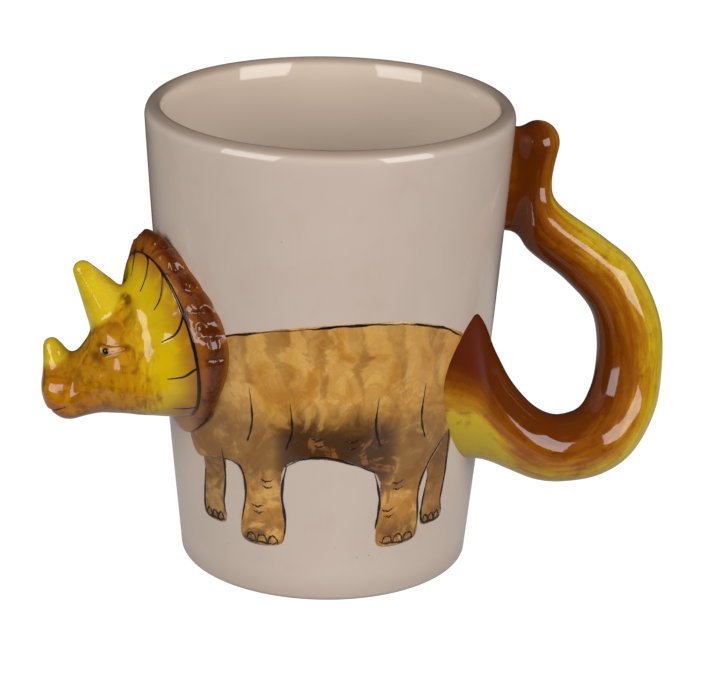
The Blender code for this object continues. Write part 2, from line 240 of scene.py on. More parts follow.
def arc(centre, radius, start, end, steps):
    angles = np.radians(np.linspace(start, end, steps + 1))
    return [(centre[0] + radius * math.cos(a), centre[1] + radius * math.sin(a)) for a in angles]


# Paint helpers. A wire is a node's output, which can be reckoned with like a number.

class Wire:
    def __init__(self, socket):
        self.socket = socket

    def __add__(self, other):
        return reckon("ADD", self, other)

    def __sub__(self, other):
        return reckon("SUBTRACT", self, other)

    def __rsub__(self, other):
        return reckon("SUBTRACT", other, self)

    def __mul__(self, other):
        return reckon("MULTIPLY", self, other)


def feed(node, key, value):  # a wire is linked, anything else is set on the node's own input
    socket = node.inputs[key]
    if isinstance(value, Wire):
        node.id_data.links.new(value.socket, socket)
    else:
        socket.default_value = (*value, 1) if socket.type == "RGBA" else value


def addNode(tree, kind, inputs=None, **settings):
    made = tree.nodes.new(f"ShaderNode{kind}")
    for key, value in settings.items():
        setattr(made, key, value)
    for key, value in (inputs or {}).items():
        feed(made, key, value)
    return made


def after(kind, inputs, output=0, **settings):  # the wire of a new node behind the wires that it takes
    tree = next(value.socket.id_data for value in inputs.values() if isinstance(value, Wire))
    return Wire(addNode(tree, kind, inputs, **settings).outputs[output])


def reckon(operation, a, b=0.0, clamp=False):
    return after("Math", {0: a, 1: b}, operation=operation, use_clamp=clamp)


def larger(a, b):
    return reckon("MAXIMUM", a, b)


def fade(value, low, high):  # 0 at low, 1 at high, eased between
    return after("MapRange", {0: value, 1: low, 2: high}, interpolation_type="SMOOTHSTEP")


def spread(value, low, high, least=0.0, most=1.0):  # least at low, most at high, straight between
    return after("MapRange", {0: value, 1: low, 2: high, 3: least, 4: most})


def between(share, first, second):
    return after("Mix", {0: share, 2: first, 3: second})


def mixed(share, first, second):  # the same for colours
    return after("Mix", {0: share, 6: first, 7: second}, 2, data_type="RGBA")


def layered(paint, ground, *layers):  # colours laid over the ground, each by its share
    colour = paint.get(ground, ground)
    for share, name in layers:
        colour = mixed(share, colour, paint.get(name, name))
    return colour


def cloud(vector, scale, detail=4.0, roughness=0.55, distortion=0.0):
    look = {"Scale": scale, "Detail": detail, "Roughness": roughness, "Distortion": distortion}
    return after("TexNoise", {"Vector": vector, **look}, "Fac")


def bump(height, depth, **under):
    return after("Bump", {"Height": height, "Distance": depth, "Strength": 1.0, **under})


def vectorMath(operation, a, b=(0, 0, 0), output=0):
    return after("VectorMath", {0: a, 1: b}, output, operation=operation)


def partsOf(vector):
    return [Wire(part) for part in addNode(vector.socket.id_data, "SeparateXYZ", {0: vector}).outputs]


def ramp(value, stops):
    made = addNode(value.socket.id_data, "ValToRGB", {0: value})
    band = made.color_ramp
    while len(band.elements) < len(stops):
        band.elements.new(0.5)
    for element, (place, colour) in zip(band.elements, stops):
        element.position = place
        element.color = (*colour, 1)
    return Wire(made.outputs[0])


def placeIn(tree):
    return Wire(addNode(tree, "TexCoord").outputs["Object"])


def readMap(tree, name, output="Fac"):
    return Wire(addNode(tree, "Attribute", attribute_name=name).outputs[output])


def newMaterial(name):
    material = bpy.data.materials.new(name)
    material.use_nodes = True
    return material, material.node_tree, material.node_tree.nodes["Principled BSDF"]


# Every glaze here is the same clear coat. Its gloss wavers a little, and it has slow waves and fine peel.
glazeCoat = {
    "ior": 1.5, "smoothest": 0.035, "roughest": 0.085, "patch": 90.0,
    "waveScale": 130.0, "waveDepth": 0.05 * mm, "peelScale": 1400.0, "peelDepth": 0.0015 * mm,
}
cupCoat = {**glazeCoat, "waveScale": 42.0, "waveDepth": 0.75 * mm}


def glaze(shader, colour, coat=glazeCoat, waves=1.0):  # gives back the wire of its gloss
    place = placeIn(shader.id_data)
    gloss = spread(cloud(place, coat["patch"], 3.0), 0.3, 0.7, coat["smoothest"], coat["roughest"])
    wave = bump(cloud(place, coat["waveScale"], 1.0), coat["waveDepth"] * waves)
    peel = bump(cloud(place, coat["peelScale"], 2.0), coat["peelDepth"], Normal=wave)
    for key, value in (("Base Color", colour), ("Roughness", gloss), ("IOR", coat["ior"]), ("Normal", peel)):
        feed(shader, key, value)
    return gloss


# Camera, floor and lamps

photoView = {
    "aim": (6.777 * mm, 0, 49.132 * mm), "distance": 654.6 * mm,
    "pitch": 20.13, "roll": 1.27, "lens": 147.05, "sensor": 36, "clipStart": 10 * mm,
}


def makeCamera(view):
    lens = bpy.data.cameras.new("photoCamera")
    lens.sensor_width = view["sensor"]
    lens.lens = view["lens"]
    lens.clip_start = view["clipStart"]
    camera = intoScene(bpy.data.objects.new("photoCamera", lens))
    tilt = Matrix.Rotation(math.radians(90 - view["pitch"]), 4, "X")
    turn = tilt @ Matrix.Rotation(math.radians(view["roll"]), 4, "Z")
    back = Matrix.Translation((0, 0, view["distance"]))
    camera.matrix_world = Matrix.Translation(view["aim"]) @ turn @ back
    bpy.context.scene.camera = camera


makeCamera(photoView)
bpy.context.scene.view_settings.view_transform = "Standard"

# Softboxes: place, width, height, brightness of its face, colour. The front one is too faint to be mirrored.
softboxes = {
    "leftBox": ((-0.79, -0.68, 0.42), 0.66, 0.64, 4.9, (1.0, 0.990, 0.975)),
    "rightBox": ((0.79, -0.68, 0.42), 0.66, 0.64, 5.5, (1.0, 0.985, 0.970)),
    "frontBox": ((0, -0.95, 0.72), 0.90, 0.50, 1.15, (1.0, 0.990, 0.980)),
}
boxAim = Vector((0, 0, 60 * mm))


def makeSoftbox(name, place, width, height, bright, colour):
    lamp = bpy.data.lights.new(name, "AREA")
    lamp.shape = "RECTANGLE"
    lamp.size, lamp.size_y = width, height
    lamp.energy = bright * math.pi * width * height
    lamp.color = colour
    box = intoScene(bpy.data.objects.new(name, lamp))
    toward = boxAim - Vector(place)
    box.matrix_world = Matrix.Translation(place) @ toward.to_track_quat("-Z", "Y").to_matrix().to_4x4()
    box.visible_glossy = name != "frontBox"


for name, settings in softboxes.items():
    makeSoftbox(name, *settings)

studio = {
    "fill": (0.20, 0.195, 0.19), "dark": (0.035, 0.035, 0.035), "floorHalf": 3.0, "floorDrop": 0.05 * mm,
    "shade": 0.20, "balance": 1.20, "around": (0.26, 0.25, 0.24), "pale": (0.44, 0.43, 0.42),
    "white": (0.86, 0.86, 0.86), "tableShine": 0.37,
    "front": (-91 * mm, -85 * mm), "back": (170 * mm, 110 * mm), "side": (230 * mm, 130 * mm),
}


def raysIn(tree):  # whether a ray shows the background as it is, and whether it is mirrored
    rays = addNode(tree, "LightPath").outputs
    seen = larger(Wire(rays["Is Camera Ray"]), Wire(rays["Is Transmission Ray"]))
    return seen, Wire(rays["Is Glossy Ray"])


def makeStudio(settings):
    world = bpy.data.worlds.new("studioRoom")
    bpy.context.scene.world = world
    world.use_nodes = True
    seen, glossy = raysIn(world.node_tree)
    room = mixed(glossy, settings["fill"], settings["dark"])
    feed(world.node_tree.nodes["Background"], "Color", mixed(seen, room, (1, 1, 1)))

    half, drop = settings["floorHalf"], settings["floorDrop"]
    corners = [(-half, -half, -drop), (half, -half, -drop), (half, half, -drop), (-half, half, -drop)]
    mesh = bpy.data.meshes.new("floor")
    mesh.from_pydata(corners, [], [(0, 1, 2, 3)])
    material, tree, shader = newMaterial("paleFloor")
    feed(shader, "Roughness", 0.9)
    feed(shader, "Specular IOR Level", 0.0)

    # the glaze mirrors a small pale table with a dark room round it
    seen, glossy = raysIn(tree)
    x, y, _ = partsOf(Wire(addNode(tree, "NewGeometry").outputs["Position"]))
    table = fade(y, *settings["front"]) * fade(y, *settings["back"])
    table *= fade(reckon("ABSOLUTE", x), *settings["side"])
    lit = mixed(table, settings["around"], settings["pale"])
    feed(shader, "Base Color", mixed(seen, lit, settings["white"]))
    bright = table * settings["tableShine"] * glossy + seen * settings["balance"]
    glow = addNode(tree, "Emission", {"Color": (1, 1, 1), "Strength": bright})
    share = larger(seen * (1 - settings["shade"]), glossy)
    blend = after("MixShader", {0: share, 1: Wire(shader.outputs[0]), 2: Wire(glow.outputs[0])})
    feed(tree.nodes["Material Output"], "Surface", blend)
    newPiece("floor", mesh, [material])


makeStudio(studio)
print("camera, lamps and floor are set")


# Cup

cup = {
    "height": 105 * mm, "rimRadius": 40.8 * mm, "baseRadius": 32.3 * mm, "swell": 0.55 * mm, "wall": 4 * mm,
    "lipOuter": (2.3 * mm, 3.0 * mm), "lipInner": (1.5 * mm, 1.6 * mm), "floor": 5 * mm, "fillet": 6 * mm,
    "edge": 1.2 * mm, "footWidth": 4.5 * mm, "recess": 0.7 * mm, "draft": 0.5 * mm, "axisGap": 0.15 * mm,
    "sides": 192, "waver": 0.12 * mm, "evenBelow": 12 * mm, "evenInside": 20 * mm, "evenerAtRim": 6 * mm,
}


def wallRadius(height):
    share = height / cup["height"]
    straight = cup["baseRadius"] + (cup["rimRadius"] - cup["baseRadius"]) * share
    return straight + 4 * cup["swell"] * share * (1 - share)


def lipArc(middle, size, start, end, steps):  # part of an oval, from one direction to another
    low = cup["height"] - size[1]
    return [(middle + size[0] * x, low + size[1] * z) for x, z in arc((0, 0), 1, start, end, steps)]


def cupProfile():
    lipOuter, lipInner, edge, fillet = cup["lipOuter"], cup["lipInner"], cup["edge"], cup["fillet"]
    lipMiddle = wallRadius(cup["height"] - lipOuter[1]) - lipOuter[0]
    innerLow = cup["floor"] + fillet
    innerFoot = wallRadius(innerLow) - cup["wall"]
    outerFoot = wallRadius(edge) - edge
    recessEdge = cup["baseRadius"] - cup["footWidth"]
    return [
        (cup["axisGap"], cup["floor"]),
        *[(r, cup["floor"]) for r in np.linspace(6 * mm, innerFoot - fillet, 5)],
        *arc((innerFoot - fillet, innerLow), fillet, -90, 0, 10)[1:-1],
        *[(wallRadius(z) - cup["wall"], z) for z in np.linspace(innerLow, cup["height"] - lipInner[1], 26)],
        *lipArc(lipMiddle, lipInner, 180, 90, 12)[1:],
        *lipArc(lipMiddle, lipOuter, 90, 0, 14)[1:-1],
        *[(wallRadius(z), z) for z in np.linspace(cup["height"] - lipOuter[1], edge, 40)],
        *arc((outerFoot, edge), edge, 0, -90, 6)[1:],
        (recessEdge + 1.5 * mm, 0),
        (recessEdge, 0),
        (recessEdge - cup["draft"], cup["recess"]),
        (cup["axisGap"], cup["recess"]),
    ]


def waver(angle, height):  # a slow unevenness of the cast wall, never outward
    wave = np.sin(2 * angle + 0.7) + 0.6 * np.sin(3 * angle + 2.1 + 30 * height)
    return cup["waver"] * ((wave + 0.4 * np.sin(5 * angle + 55 * height)) / 2 - 1) / 2


def makeCup():
    angles = anglesRound(cup["sides"])
    rings = []
    for radius, height in cupProfile():
        level = ease(height / cup["evenBelow"]) * (radius > cup["evenInside"])
        rim = ease((cup["height"] - height) / cup["evenerAtRim"]) * 0.6 + 0.4
        rings.append(ringAt(radius + waver(angles, height) * level * rim, height, angles))
    return skin("glazedCup", rings)


cupGlaze = {
    "cream": (0.610, 0.505, 0.435), "warm": (0.575, 0.460, 0.378), "cool": (0.630, 0.532, 0.462),
    # thin is painted shade on the lip's top, and darkens the foot a little
    "thin": (0.310, 0.225, 0.160), "inner": (0.700, 0.580, 0.480), "speck": (0.16, 0.10, 0.06),
    "biscuit": (0.70, 0.62, 0.52), "biscuitDark": (0.574, 0.5084, 0.4264), "speckScale": 230.0,
}


def paintCup(paint):
    material, tree, shader = newMaterial("creamGlaze")
    place = placeIn(tree)
    x, y, height = partsOf(place)
    across = vectorMath("LENGTH", after("CombineXYZ", {0: x, 1: y}), output="Value")
    slope = (cup["rimRadius"] - cup["baseRadius"]) / cup["height"]
    depth = height * slope + cup["baseRadius"] - across
    # painted shade: the lip's top is painted darker, as no lamp lights it from above; the bottom 7 mm
    # darkens a little towards the foot
    shadedLip = fade(height, 103.2 * mm, 104.7 * mm) * 0.75
    foot = fade(height, 7 * mm, 0.0) * 0.30
    cells = after("TexVoronoi", {"Vector": place, "Scale": paint["speckScale"]}, "Distance")
    dots = fade(cells, 0.055, 0.02) * fade(cloud(place, 75.0, 1.0), 0.60, 0.66)
    colour = layered(
        paint, "cream",
        (fade(cloud(place, 22.0, 3.0, distortion=0.6), 0.35, 0.70), "cool"),
        (fade(cloud(place, 160.0, 5.0), 0.45, 0.75) * 0.35, "warm"),
        # the inside is painted a lighter cream than the outside: painted light for the light bounced round
        # inside the cup
        (fade(depth, 2.6 * mm, 3.8 * mm), "inner"),
        (larger(shadedLip, foot), "thin"),
        (dots * 0.7, "speck"),
    )
    glaze(shader, colour, cupCoat)
    return material


def paintBiscuit(paint):
    material, tree, shader = newMaterial("bareFootClay")
    grain = cloud(placeIn(tree), 900.0, 6.0)
    feed(shader, "Base Color", layered(paint, "biscuit", (fade(grain, 0.35, 0.7), "biscuitDark")))
    feed(shader, "Roughness", 0.75)
    feed(shader, "Normal", bump(grain, 0.06 * mm))
    return material


cupMesh = makeCup()
newPiece("glazedCup", cupMesh, [paintCup(cupGlaze), paintBiscuit(cupGlaze)], "cup_glaze", ["cup"])
for face in cupMesh.polygons:
    onRing = abs(face.center.z) < 0.02 * mm and face.normal.z < -0.9
    face.material_index = 1 if onRing else 0
print("cup is turned and glazed:", len(cupMesh.polygons), "faces")


# Head and horns. The frill's edge is an oval that leans over the wall, and the muzzle points to -X.

head = {
    "azimuth": 29, "height": 57 * mm, "stand": 3.3 * mm, "lean": 10.5,
    "halfWidth": 17.5 * mm, "halfHeight": 19.1 * mm, "straightFrom": 12.5 * mm,
    "sides": 112, "steps": 6, "collar": 1.6 * mm,
    "voxel": 0.32 * mm, "smoothing": (0.5, 4), "fillet": (3.4 * mm, 0.6, 110, 0),
    "hornSides": 48, "hornFrom": 0.2 * mm, "hornOver": 1.6 * mm, "hornNear": 1.2 * mm,
}
# Reach, crown, throat, half width, narrowing of the upper half
headRows = np.array([
    (0, 19.1, -19.1, 17.5, 0.0), (2.2, 16.6, -18.9, 15.8, 0.04), (5.5, 12.6, -17.8, 13.9, 0.28),
    (9.0, 8.2, -17.1, 12.9, 0.23), (12.5, 4.2, -17.2, 11.4, 0.16), (16.0, -0.6, -18.1, 9.9, 0.17),
    (19.2, -5.0, -19.1, 8.8, 0.15), (22.0, -6.3, -18.7, 8.3, 0.10), (24.4, -7.2, -16.8, 7.2, 0.05),
    (25.8, -9.0, -14.5, 4.6, 0.0), (26.3, -10.7, -12.7, 1.8, 0.0),
]) * (mm, mm, mm, mm, 1)
horns = {  # reach, rise, lean, tip radius, cone's half angle, length
    "brow": (16.9 * mm, 14.5 * mm, 34, 2.2 * mm, 17.3, 17.0 * mm),
    "nose": (23.9 * mm, -3.0 * mm, 20, 1.9 * mm, 23, 8.0 * mm),
}
plumb = np.array([0, 0, 1])


def headWays(azimuth, lean):  # outward along the level, sideways, and upward with the lean
    outward = np.array([-math.cos(azimuth), -math.sin(azimuth), 0])
    side = np.array([math.sin(azimuth), -math.cos(azimuth), 0])
    return outward, side, plumb * math.cos(lean) + outward * math.sin(lean)


frillLean = math.radians(head["lean"])
frillOut, frillSide, frillUp = headWays(math.radians(head["azimuth"]), frillLean)
frillMiddle = frillOut * (wallRadius(head["height"]) + head["stand"]) + plumb * head["height"]
frillFacing = frillOut * math.cos(frillLean) - plumb * math.sin(frillLean)


def headPoint(row, angle):
    reach, crown, throat, halfWidth, narrowing = row
    turn = 1 - ease(reach / head["straightFrom"])
    _, side, upward = headWays(math.radians(head["azimuth"]) * turn, frillLean * turn)
    centre = frillMiddle + np.array([-reach, 0, 0]) + upward * (crown + throat) / 2
    across = halfWidth * np.cos(angle) * (1 - narrowing * np.sin(angle))
    above = (crown - throat) / 2 * np.sin(angle)
    return centre + side * across[..., None] + upward * above[..., None]


def makeHorn(reach, rise, lean, tip, cone, length):
    profile = arc((0, 0), tip, 88, cone, 10)
    radius, height = profile[-1]
    for share in np.linspace(0.06, 1, 16):
        wider = share * length * math.tan(math.radians(cone))
        profile.append(((radius + wider) * (1 + 0.10 * share**3), height - share * length))
    root = Matrix.Translation(Vector(frillMiddle) + Vector((-reach, 0, rise)))
    turn = root @ Matrix.Rotation(-math.radians(lean), 4, "Y")
    rings = [ringAt(radius, height, anglesRound(head["hornSides"])) for radius, height in profile]
    return skin("horn", [[turn @ Vector(point) for point in ring] for ring in rings])


def makeHeadMesh():
    angles = anglesRound(head["sides"])
    rows = smoothRows(headRows, head["steps"])
    rings = [headPoint(row, angles) for row in rows]
    notes = np.concatenate([ringAt(1, row[0] / mm, angles)[:, (2, 0, 1)] for row in rows])
    collar = rings[0] - frillFacing * head["collar"] + (frillMiddle - rings[0]) * 0.04
    skull = skin("skull", [collar, *rings])
    pair = joined("horns", [makeHorn(*horn) for horn in horns.values()])
    mesh, fromSkull, fromHorns = moulded("glazedHead", [skull, pair], head)
    hornShare = ease((fromSkull - head["hornFrom"]) / head["hornOver"]) * (fromHorns < head["hornNear"])
    return mesh, borrow(mesh, np.concatenate(rings), notes), hornShare


# Sculpted details, in mm forward of the frill's middle and above it, alike on both sides
face = {
    "eye": (11.35, -0.45), "pupil": 0.85 * mm, "pupilSink": 0.25, "pupilFlat": (1, 1, 0.7, 1),
    "slot": ((11.3, -0.5), (9.4, -0.1), (7.3, 0.6)), "slotHalf": (0.78, 0.36), "slotDepth": 0.36,
    "ball": 0.32, "lid": 0.06,
    "brow": (12.7, 2.8), "browSize": (5.7, 3.5), "browHeight": 1.4,
    "groove": (3.0, 2.0), "grooveSize": (3.5, 9.0), "grooveDepth": 1.2,
    "swell": (2.0, 0.9), "swellSize": (8.0, 5.0), "swellHeight": 0.62,
    "bulbTop": -7.9, "bulbBack": 18.4, "bulbHeight": 0.75,
    "nostril": (25.2, -10.4, 4.9), "nostrilDepth": 0.9, "nostrilRadius": 0.85,
    "mouth": ((26.2, -17.2), (24.2, -16.3), (22.4, -15.2), (20.3, -14.1)),
    "mouthDepth": 0.35, "mouthWidth": 0.45, "mouthInk": 0.55 * mm, "lumps": 0.035,
}


def alongPath(reach, rise, path):  # least distance from a path of points in mm, and how far along it that is
    least, share = np.full(len(reach), 1e9), np.zeros(len(reach))
    for k, ((x0, z0), (x1, z1)) in enumerate(zip(path, path[1:])):
        dx, dz = x1 - x0, z1 - z0
        t = np.clip(((reach - x0) * dx + (rise - z0) * dz) / (dx * dx + dz * dz), 0, 1)
        away = np.hypot(reach - x0 - t * dx, rise - z0 - t * dz)
        share = np.where(away < least, (k + t) / (len(path) - 1), share)
        least = np.minimum(least, away)
    return least, share


def sculptHead(mesh, hornShare):
    local = (pointsOf(mesh) - frillMiddle) / mm
    reach, across, rise = -local[:, 0], local[:, 1], local[:, 2]
    flank = ease((np.abs(across) - 3.5) / 2) * (1 - hornShare)

    def hill(name):  # a round swelling of the sides, 1 at its middle
        (x, z), (wide, tall) = face[name], face[name + "Size"]
        return np.exp(-(((reach - x) / wide) ** 2) - ((rise - z) / tall) ** 2) * flank

    slot, share = alongPath(reach, rise, face["slot"])
    slot /= face["slotHalf"][0] + (face["slotHalf"][1] - face["slotHalf"][0]) * share
    lift = -face["slotDepth"] * (1 - ease((slot - 0.45) / 0.75)) * (1 - 0.5 * share) * flank
    lift += face["ball"] * np.exp(-((slot / 0.55) ** 2)) * (1 - 0.5 * share) * flank
    lift += face["lid"] * np.exp(-(((slot - 1.5) / 0.5) ** 2)) * flank
    lift += face["browHeight"] * hill("brow") + face["swellHeight"] * hill("swell")
    lift -= face["grooveDepth"] * hill("groove")

    below = face["bulbTop"] - rise
    bulb = ease(below / 0.9) * np.exp(-((np.maximum(below - 0.9, 0) / 2.8) ** 2))
    bulb *= ease((reach - face["bulbBack"]) / 2.2) * (1 - ease((reach - 24.6) / 1.6))
    lift += face["bulbHeight"] * bulb * flank

    mouth, _ = alongPath(reach, rise, face["mouth"])
    groove = np.exp(-((mouth / face["mouthWidth"]) ** 2)) * ease((np.abs(across) - 1.0) / 1.5)
    lift -= face["mouthDepth"] * groove
    away = np.hypot(reach - face["nostril"][0], np.abs(across) - face["nostril"][2])
    pit = np.hypot(away, (rise - face["nostril"][1]) * 0.62)
    lift -= face["nostrilDepth"] * np.exp(-((pit / face["nostrilRadius"]) ** 2))
    lumps = np.sin(0.9 * reach + 1.3 * rise) + np.sin(1.1 * rise - 0.7 * across + 2)
    lift += face["lumps"] * lumps * (1 - hornShare)
    normals = vectorsOf(mesh.vertex_normals, "vector")
    setPoints(mesh, pointsOf(mesh) + normals * (lift * mm)[:, None])
    return {"spot": np.stack([reach, across, rise], axis=1), "pit": pit, "slot": slot}


headMesh, headStation, hornShare = makeHeadMesh()
headMaps = {"station": headStation[:, 0], "brush": headStation * (0.05, 1, 1), "horn": hornShare}
for name, values in (sculptHead(headMesh, hornShare) | headMaps).items():
    keepMap(headMesh, name, values)
print("head and horns are shaped:", len(headMesh.polygons), "faces")

headPaint = {
    "muzzle": (0.430, 0.134, 0.001), "muzzleLight": (0.520, 0.215, 0.003),
    "muzzleDark": (0.225, 0.062, 0.002), "olive": (0.470, 0.250, 0.007), "orange": (0.560, 0.250, 0.003),
    "gold": (0.690, 0.465, 0.003), "goldDeep": (0.620, 0.345, 0.002), "goldPale": (0.740, 0.530, 0.020),
    "edge": (0.420, 0.155, 0.010), "stain": (0.130, 0.032, 0.002), "shade": (0.270, 0.088, 0.002),
    "horn": (0.700, 0.500, 0.010), "hornDeep": (0.580, 0.390, 0.004), "hornPale": (0.780, 0.590, 0.060),
    "black": (0.010, 0.006, 0.004),
}
# Marks on both sides of the face, brush marks and painted shade: middle and half sizes in mm, forward,
# sideways and up
marks = {
    "trail": ((8.4, 6.8, 7.0), (5.4, 6.0, 6.4)), "stain": ((7.3, 3.5, 9.3), (2.3, 3.2, 1.9)),
    "behind": ((17.6, 7.5, -11.0), (2.4, 5.0, 4.6)), "eyeCornerShade": ((6.4, 10.5, 0.9), (1.6, 5.0, 1.2)),
    "under": ((12.8, 8.0, -2.2), (2.6, 5.0, 1.6)),
}


def paintHead(paint):
    material, tree, shader = newMaterial("brushedHeadGlaze")
    spot, brush = readMap(tree, "spot", "Vector"), readMap(tree, "brush", "Vector")
    station, horn, pit, slot = [readMap(tree, name) for name in ("station", "horn", "pit", "slot")]
    reach, across, rise = partsOf(spot)
    evenSpot = after("CombineXYZ", {0: reach, 1: reckon("ABSOLUTE", across), 2: rise})
    blotch = cloud(spot, 0.17, 5.0, 0.6, 0.4)
    fine = cloud(spot, 0.60, 3.0, 0.55)
    streak = cloud(brush, 4.5, 4.0, 0.5, 0.3)
    hatch = cloud(vectorMath("MULTIPLY", spot, (1.0, 0.4, 0.22)), 1.1, 3.0, 0.5, 0.5)
    soft = cloud(vectorMath("ADD", spot, (7.0, 3.0, 11.0)), 0.26, 3.0, 0.5, 0.8)

    def mark(name):  # 1 in the middle of a mark, 0 past its size
        middle, size = marks[name]
        scaled = vectorMath("DIVIDE", vectorMath("SUBTRACT", evenSpot, middle), size)
        return fade(vectorMath("LENGTH", scaled, output="Value"), 1.0, 0.2)

    # muzzle: ochre over olive, brown where the brush went twice
    muzzle = layered(
        paint, "muzzle",
        (fade(blotch, 0.38, 0.60), "muzzleLight"),
        (fade(rise, -12.5, -2.0) * fade(hatch, 0.36, 0.60) * 0.75, "olive"),
        (fade(fine, 0.46, 0.72) * 0.55, "muzzleDark"),
        (fade(soft, 0.46, 0.64) * 0.60, "muzzleDark"),
        (fade(reach, 14.0, 7.0) * fade(hatch, 0.62, 0.42) * 0.7, "orange"),
    )
    # frill: clear yellow, tinted toward the black line
    edge = fade(station, 3.9, 0.3) * fade(blotch, 0.24, 0.50)
    corner = fade(rise, -7.5, -13.5) * fade(station, 5.2, 1.2)
    gold = layered(
        paint, "gold",
        (fade(streak, 0.50, 0.72) * 0.7, "goldDeep"),
        (fade(blotch, 0.52, 0.72) * 0.5, "goldPale"),
        (larger(edge, corner) * 0.95, "edge"),
    )
    hornColour = layered(
        paint, "horn",
        (fade(cloud(spot, 0.22, 3.0), 0.42, 0.70), "hornDeep"),
        (fade(fine, 0.52, 0.75) * 0.30, "hornPale"),
    )
    ragged = station + (blotch - 0.5) * 6.0 + (hatch - 0.5) * 5.0 - larger(rise, -1.0) * 0.20
    stain = reckon("MULTIPLY", mark("stain") * 1.4, fade(fine, 0.30, 0.52), clamp=True)
    # the brown lid lines round the eye slot, darkened further as painted shade of its recess
    lidLinesAndShade = fade(slot, 0.85, 1.15) * fade(slot, 1.75, 1.25)
    colour = layered(
        paint, gold,
        (fade(ragged, 4.4, 8.0), muzzle),
        (mark("trail") * fade(soft, 0.34, 0.52) * 0.85, "shade"),
        (stain * 0.85, "stain"),
        # painted shade in the hollow behind the nose bulb
        (mark("behind") * fade(blotch, 0.30, 0.50) * 0.6, "shade"),
        # painted shade round the eye's recess: at its back corner, under the eye and on the lids
        (larger(larger(mark("eyeCornerShade"), mark("under")), lidLinesAndShade) * 0.75, "stain"),
        (horn, hornColour),
        (fade(pit, 1.0, 0.6), "black"),
    )
    glaze(shader, colour, waves=0.5)
    return material


newPiece("glazedHead", headMesh, [paintHead(headPaint)], "head_glaze", ["head", "brow_horn", "nose_horn"])


# Ink: raised lens-shaped strokes, a few hundredths of a millimetre proud of the glaze

ink = {
    "lift": 0.09 * mm, "sink": 0.16 * mm, "edge": 0.02 * mm, "black": (0.010, 0.007, 0.005),
    "brown": (0.030, 0.014, 0.006), "eye": (0.006, 0.005, 0.004), "eyeBrown": (0.016, 0.008, 0.004),
}


def inkStroke(points, normals, widths, lift=ink["lift"]):
    points, normals = np.asarray(points), np.asarray(normals)
    sideways = unit(np.cross(normals, np.gradient(points, axis=0)))
    half = (np.asarray(widths) / 2)[:, None]
    edge, shoulder = -ink["edge"], lift * 0.8
    section = ((1, edge), (0.5, shoulder), (0, lift), (-0.5, shoulder), (-1, edge), (0, -ink["sink"]))
    rings = [points + sideways * half * aside + normals * rise for aside, rise in section]
    return skin("stroke", np.stack(rings, axis=1))


def tapered(count, width, start=0.25, end=0.15):  # widths of a stroke that is pressed in its middle
    t = np.linspace(0, 1, count)
    return width * (start + (1 - start) * ease(t / 0.3)) * (end + (1 - end) * ease((1 - t) / 0.45))


def paintBlack(name, scale, detail, stops, first, second, waves):
    material, tree, shader = newMaterial(name)
    thin = fade(cloud(placeIn(tree), scale, detail), *stops)
    glaze(shader, layered(ink, first, (thin, second)), waves=waves)
    return material


inkGlaze = paintBlack("blackUnderglaze", 420.0, 4.0, (0.45, 0.75), "black", "brown", 1.0)
eyeGlaze = paintBlack("blackEyeGlaze", 300.0, 3.0, (0.4, 0.7), "eye", "eyeBrown", 0.3)
headTree = treeOf(headMesh)

# Line round the face, and strokes that run in from it: angle at the line, bend on the way, length as reach
frillInk = {
    "seam": (-57, 237), "seamWidth": 0.84 * mm, "seamThin": 0.46 * mm, "seamLift": 0.17 * mm,
    "width": 0.62 * mm,
    "nearStrokes": ((116, -22, 5.0), (92, -28, 4.8), (68, -26, 3.9)),
    "strokes": ((32, -16, 3.8), (-6, -6, 4.1), (-44, 0, 3.4)),
}


def makeFrillInk(settings):
    turn = np.radians(np.linspace(*settings["seam"], 260))
    edge = headPoint(headRows[0], turn)
    normals = unit(unit(edge - frillMiddle) * 0.75 + frillFacing * 0.66)
    press = np.abs(np.cos(turn)) ** 0.7
    widths = settings["seamThin"] + (settings["seamWidth"] - settings["seamThin"]) * press
    meshes = [inkStroke(edge, normals, widths * (1 + 0.10 * np.sin(13 * turn)), settings["seamLift"])]

    rows = smoothRows(headRows, 40)
    strokes = [(*stroke, False) for stroke in (*settings["nearStrokes"], *settings["strokes"])]
    strokes += [(*stroke, True) for stroke in settings["strokes"]]
    for start, bend, reach, mirrored in strokes:
        part = rows[rows[:, 0] <= reach * mm]
        t = np.linspace(0, 1, len(part))
        angles = np.radians(start + bend * t**0.85 + 0.8 * np.sin(7 * t + start))
        angles = math.pi - angles if mirrored else angles
        path = [headPoint(row, np.array(a)) for row, a in zip(part, angles)]
        hits = [headTree.find_nearest(Vector(point)) for point in path]
        path, normals = np.array([hit[0] for hit in hits]), np.array([hit[1] for hit in hits])
        meshes.append(inkStroke(path, normals, tapered(len(path), settings["width"], 1.0, 0.45)))
    return joined("frillLines", meshes)


newPiece("frillLines", makeFrillInk(frillInk), [inkGlaze], "eye_glaze")


def sideOfHead(reach, rise, sign):  # the place on one side of the head at a reach and a rise, in mm
    start = Vector(frillMiddle) + Vector((-reach * mm, sign * 40 * mm, rise * mm))
    hit = headTree.ray_cast(start, Vector((0, -sign, 0)))
    return np.array(hit[0]), np.array(hit[1])


def makeEye(name, sign, node):
    place, facing = (Vector(found) for found in sideOfHead(*face["eye"], sign))
    seat = Matrix.Translation(place - facing * face["pupil"] * face["pupilSink"])
    seat = seat @ facing.to_track_quat("Z", "Y").to_matrix().to_4x4() @ Matrix.Diagonal(face["pupilFlat"])
    shape = bmesh.new()
    bmesh.ops.create_uvsphere(shape, u_segments=40, v_segments=24, radius=face["pupil"], matrix=seat)
    newPiece(name, meshOf(name, shape), [eyeGlaze], "eye_glaze", [node])


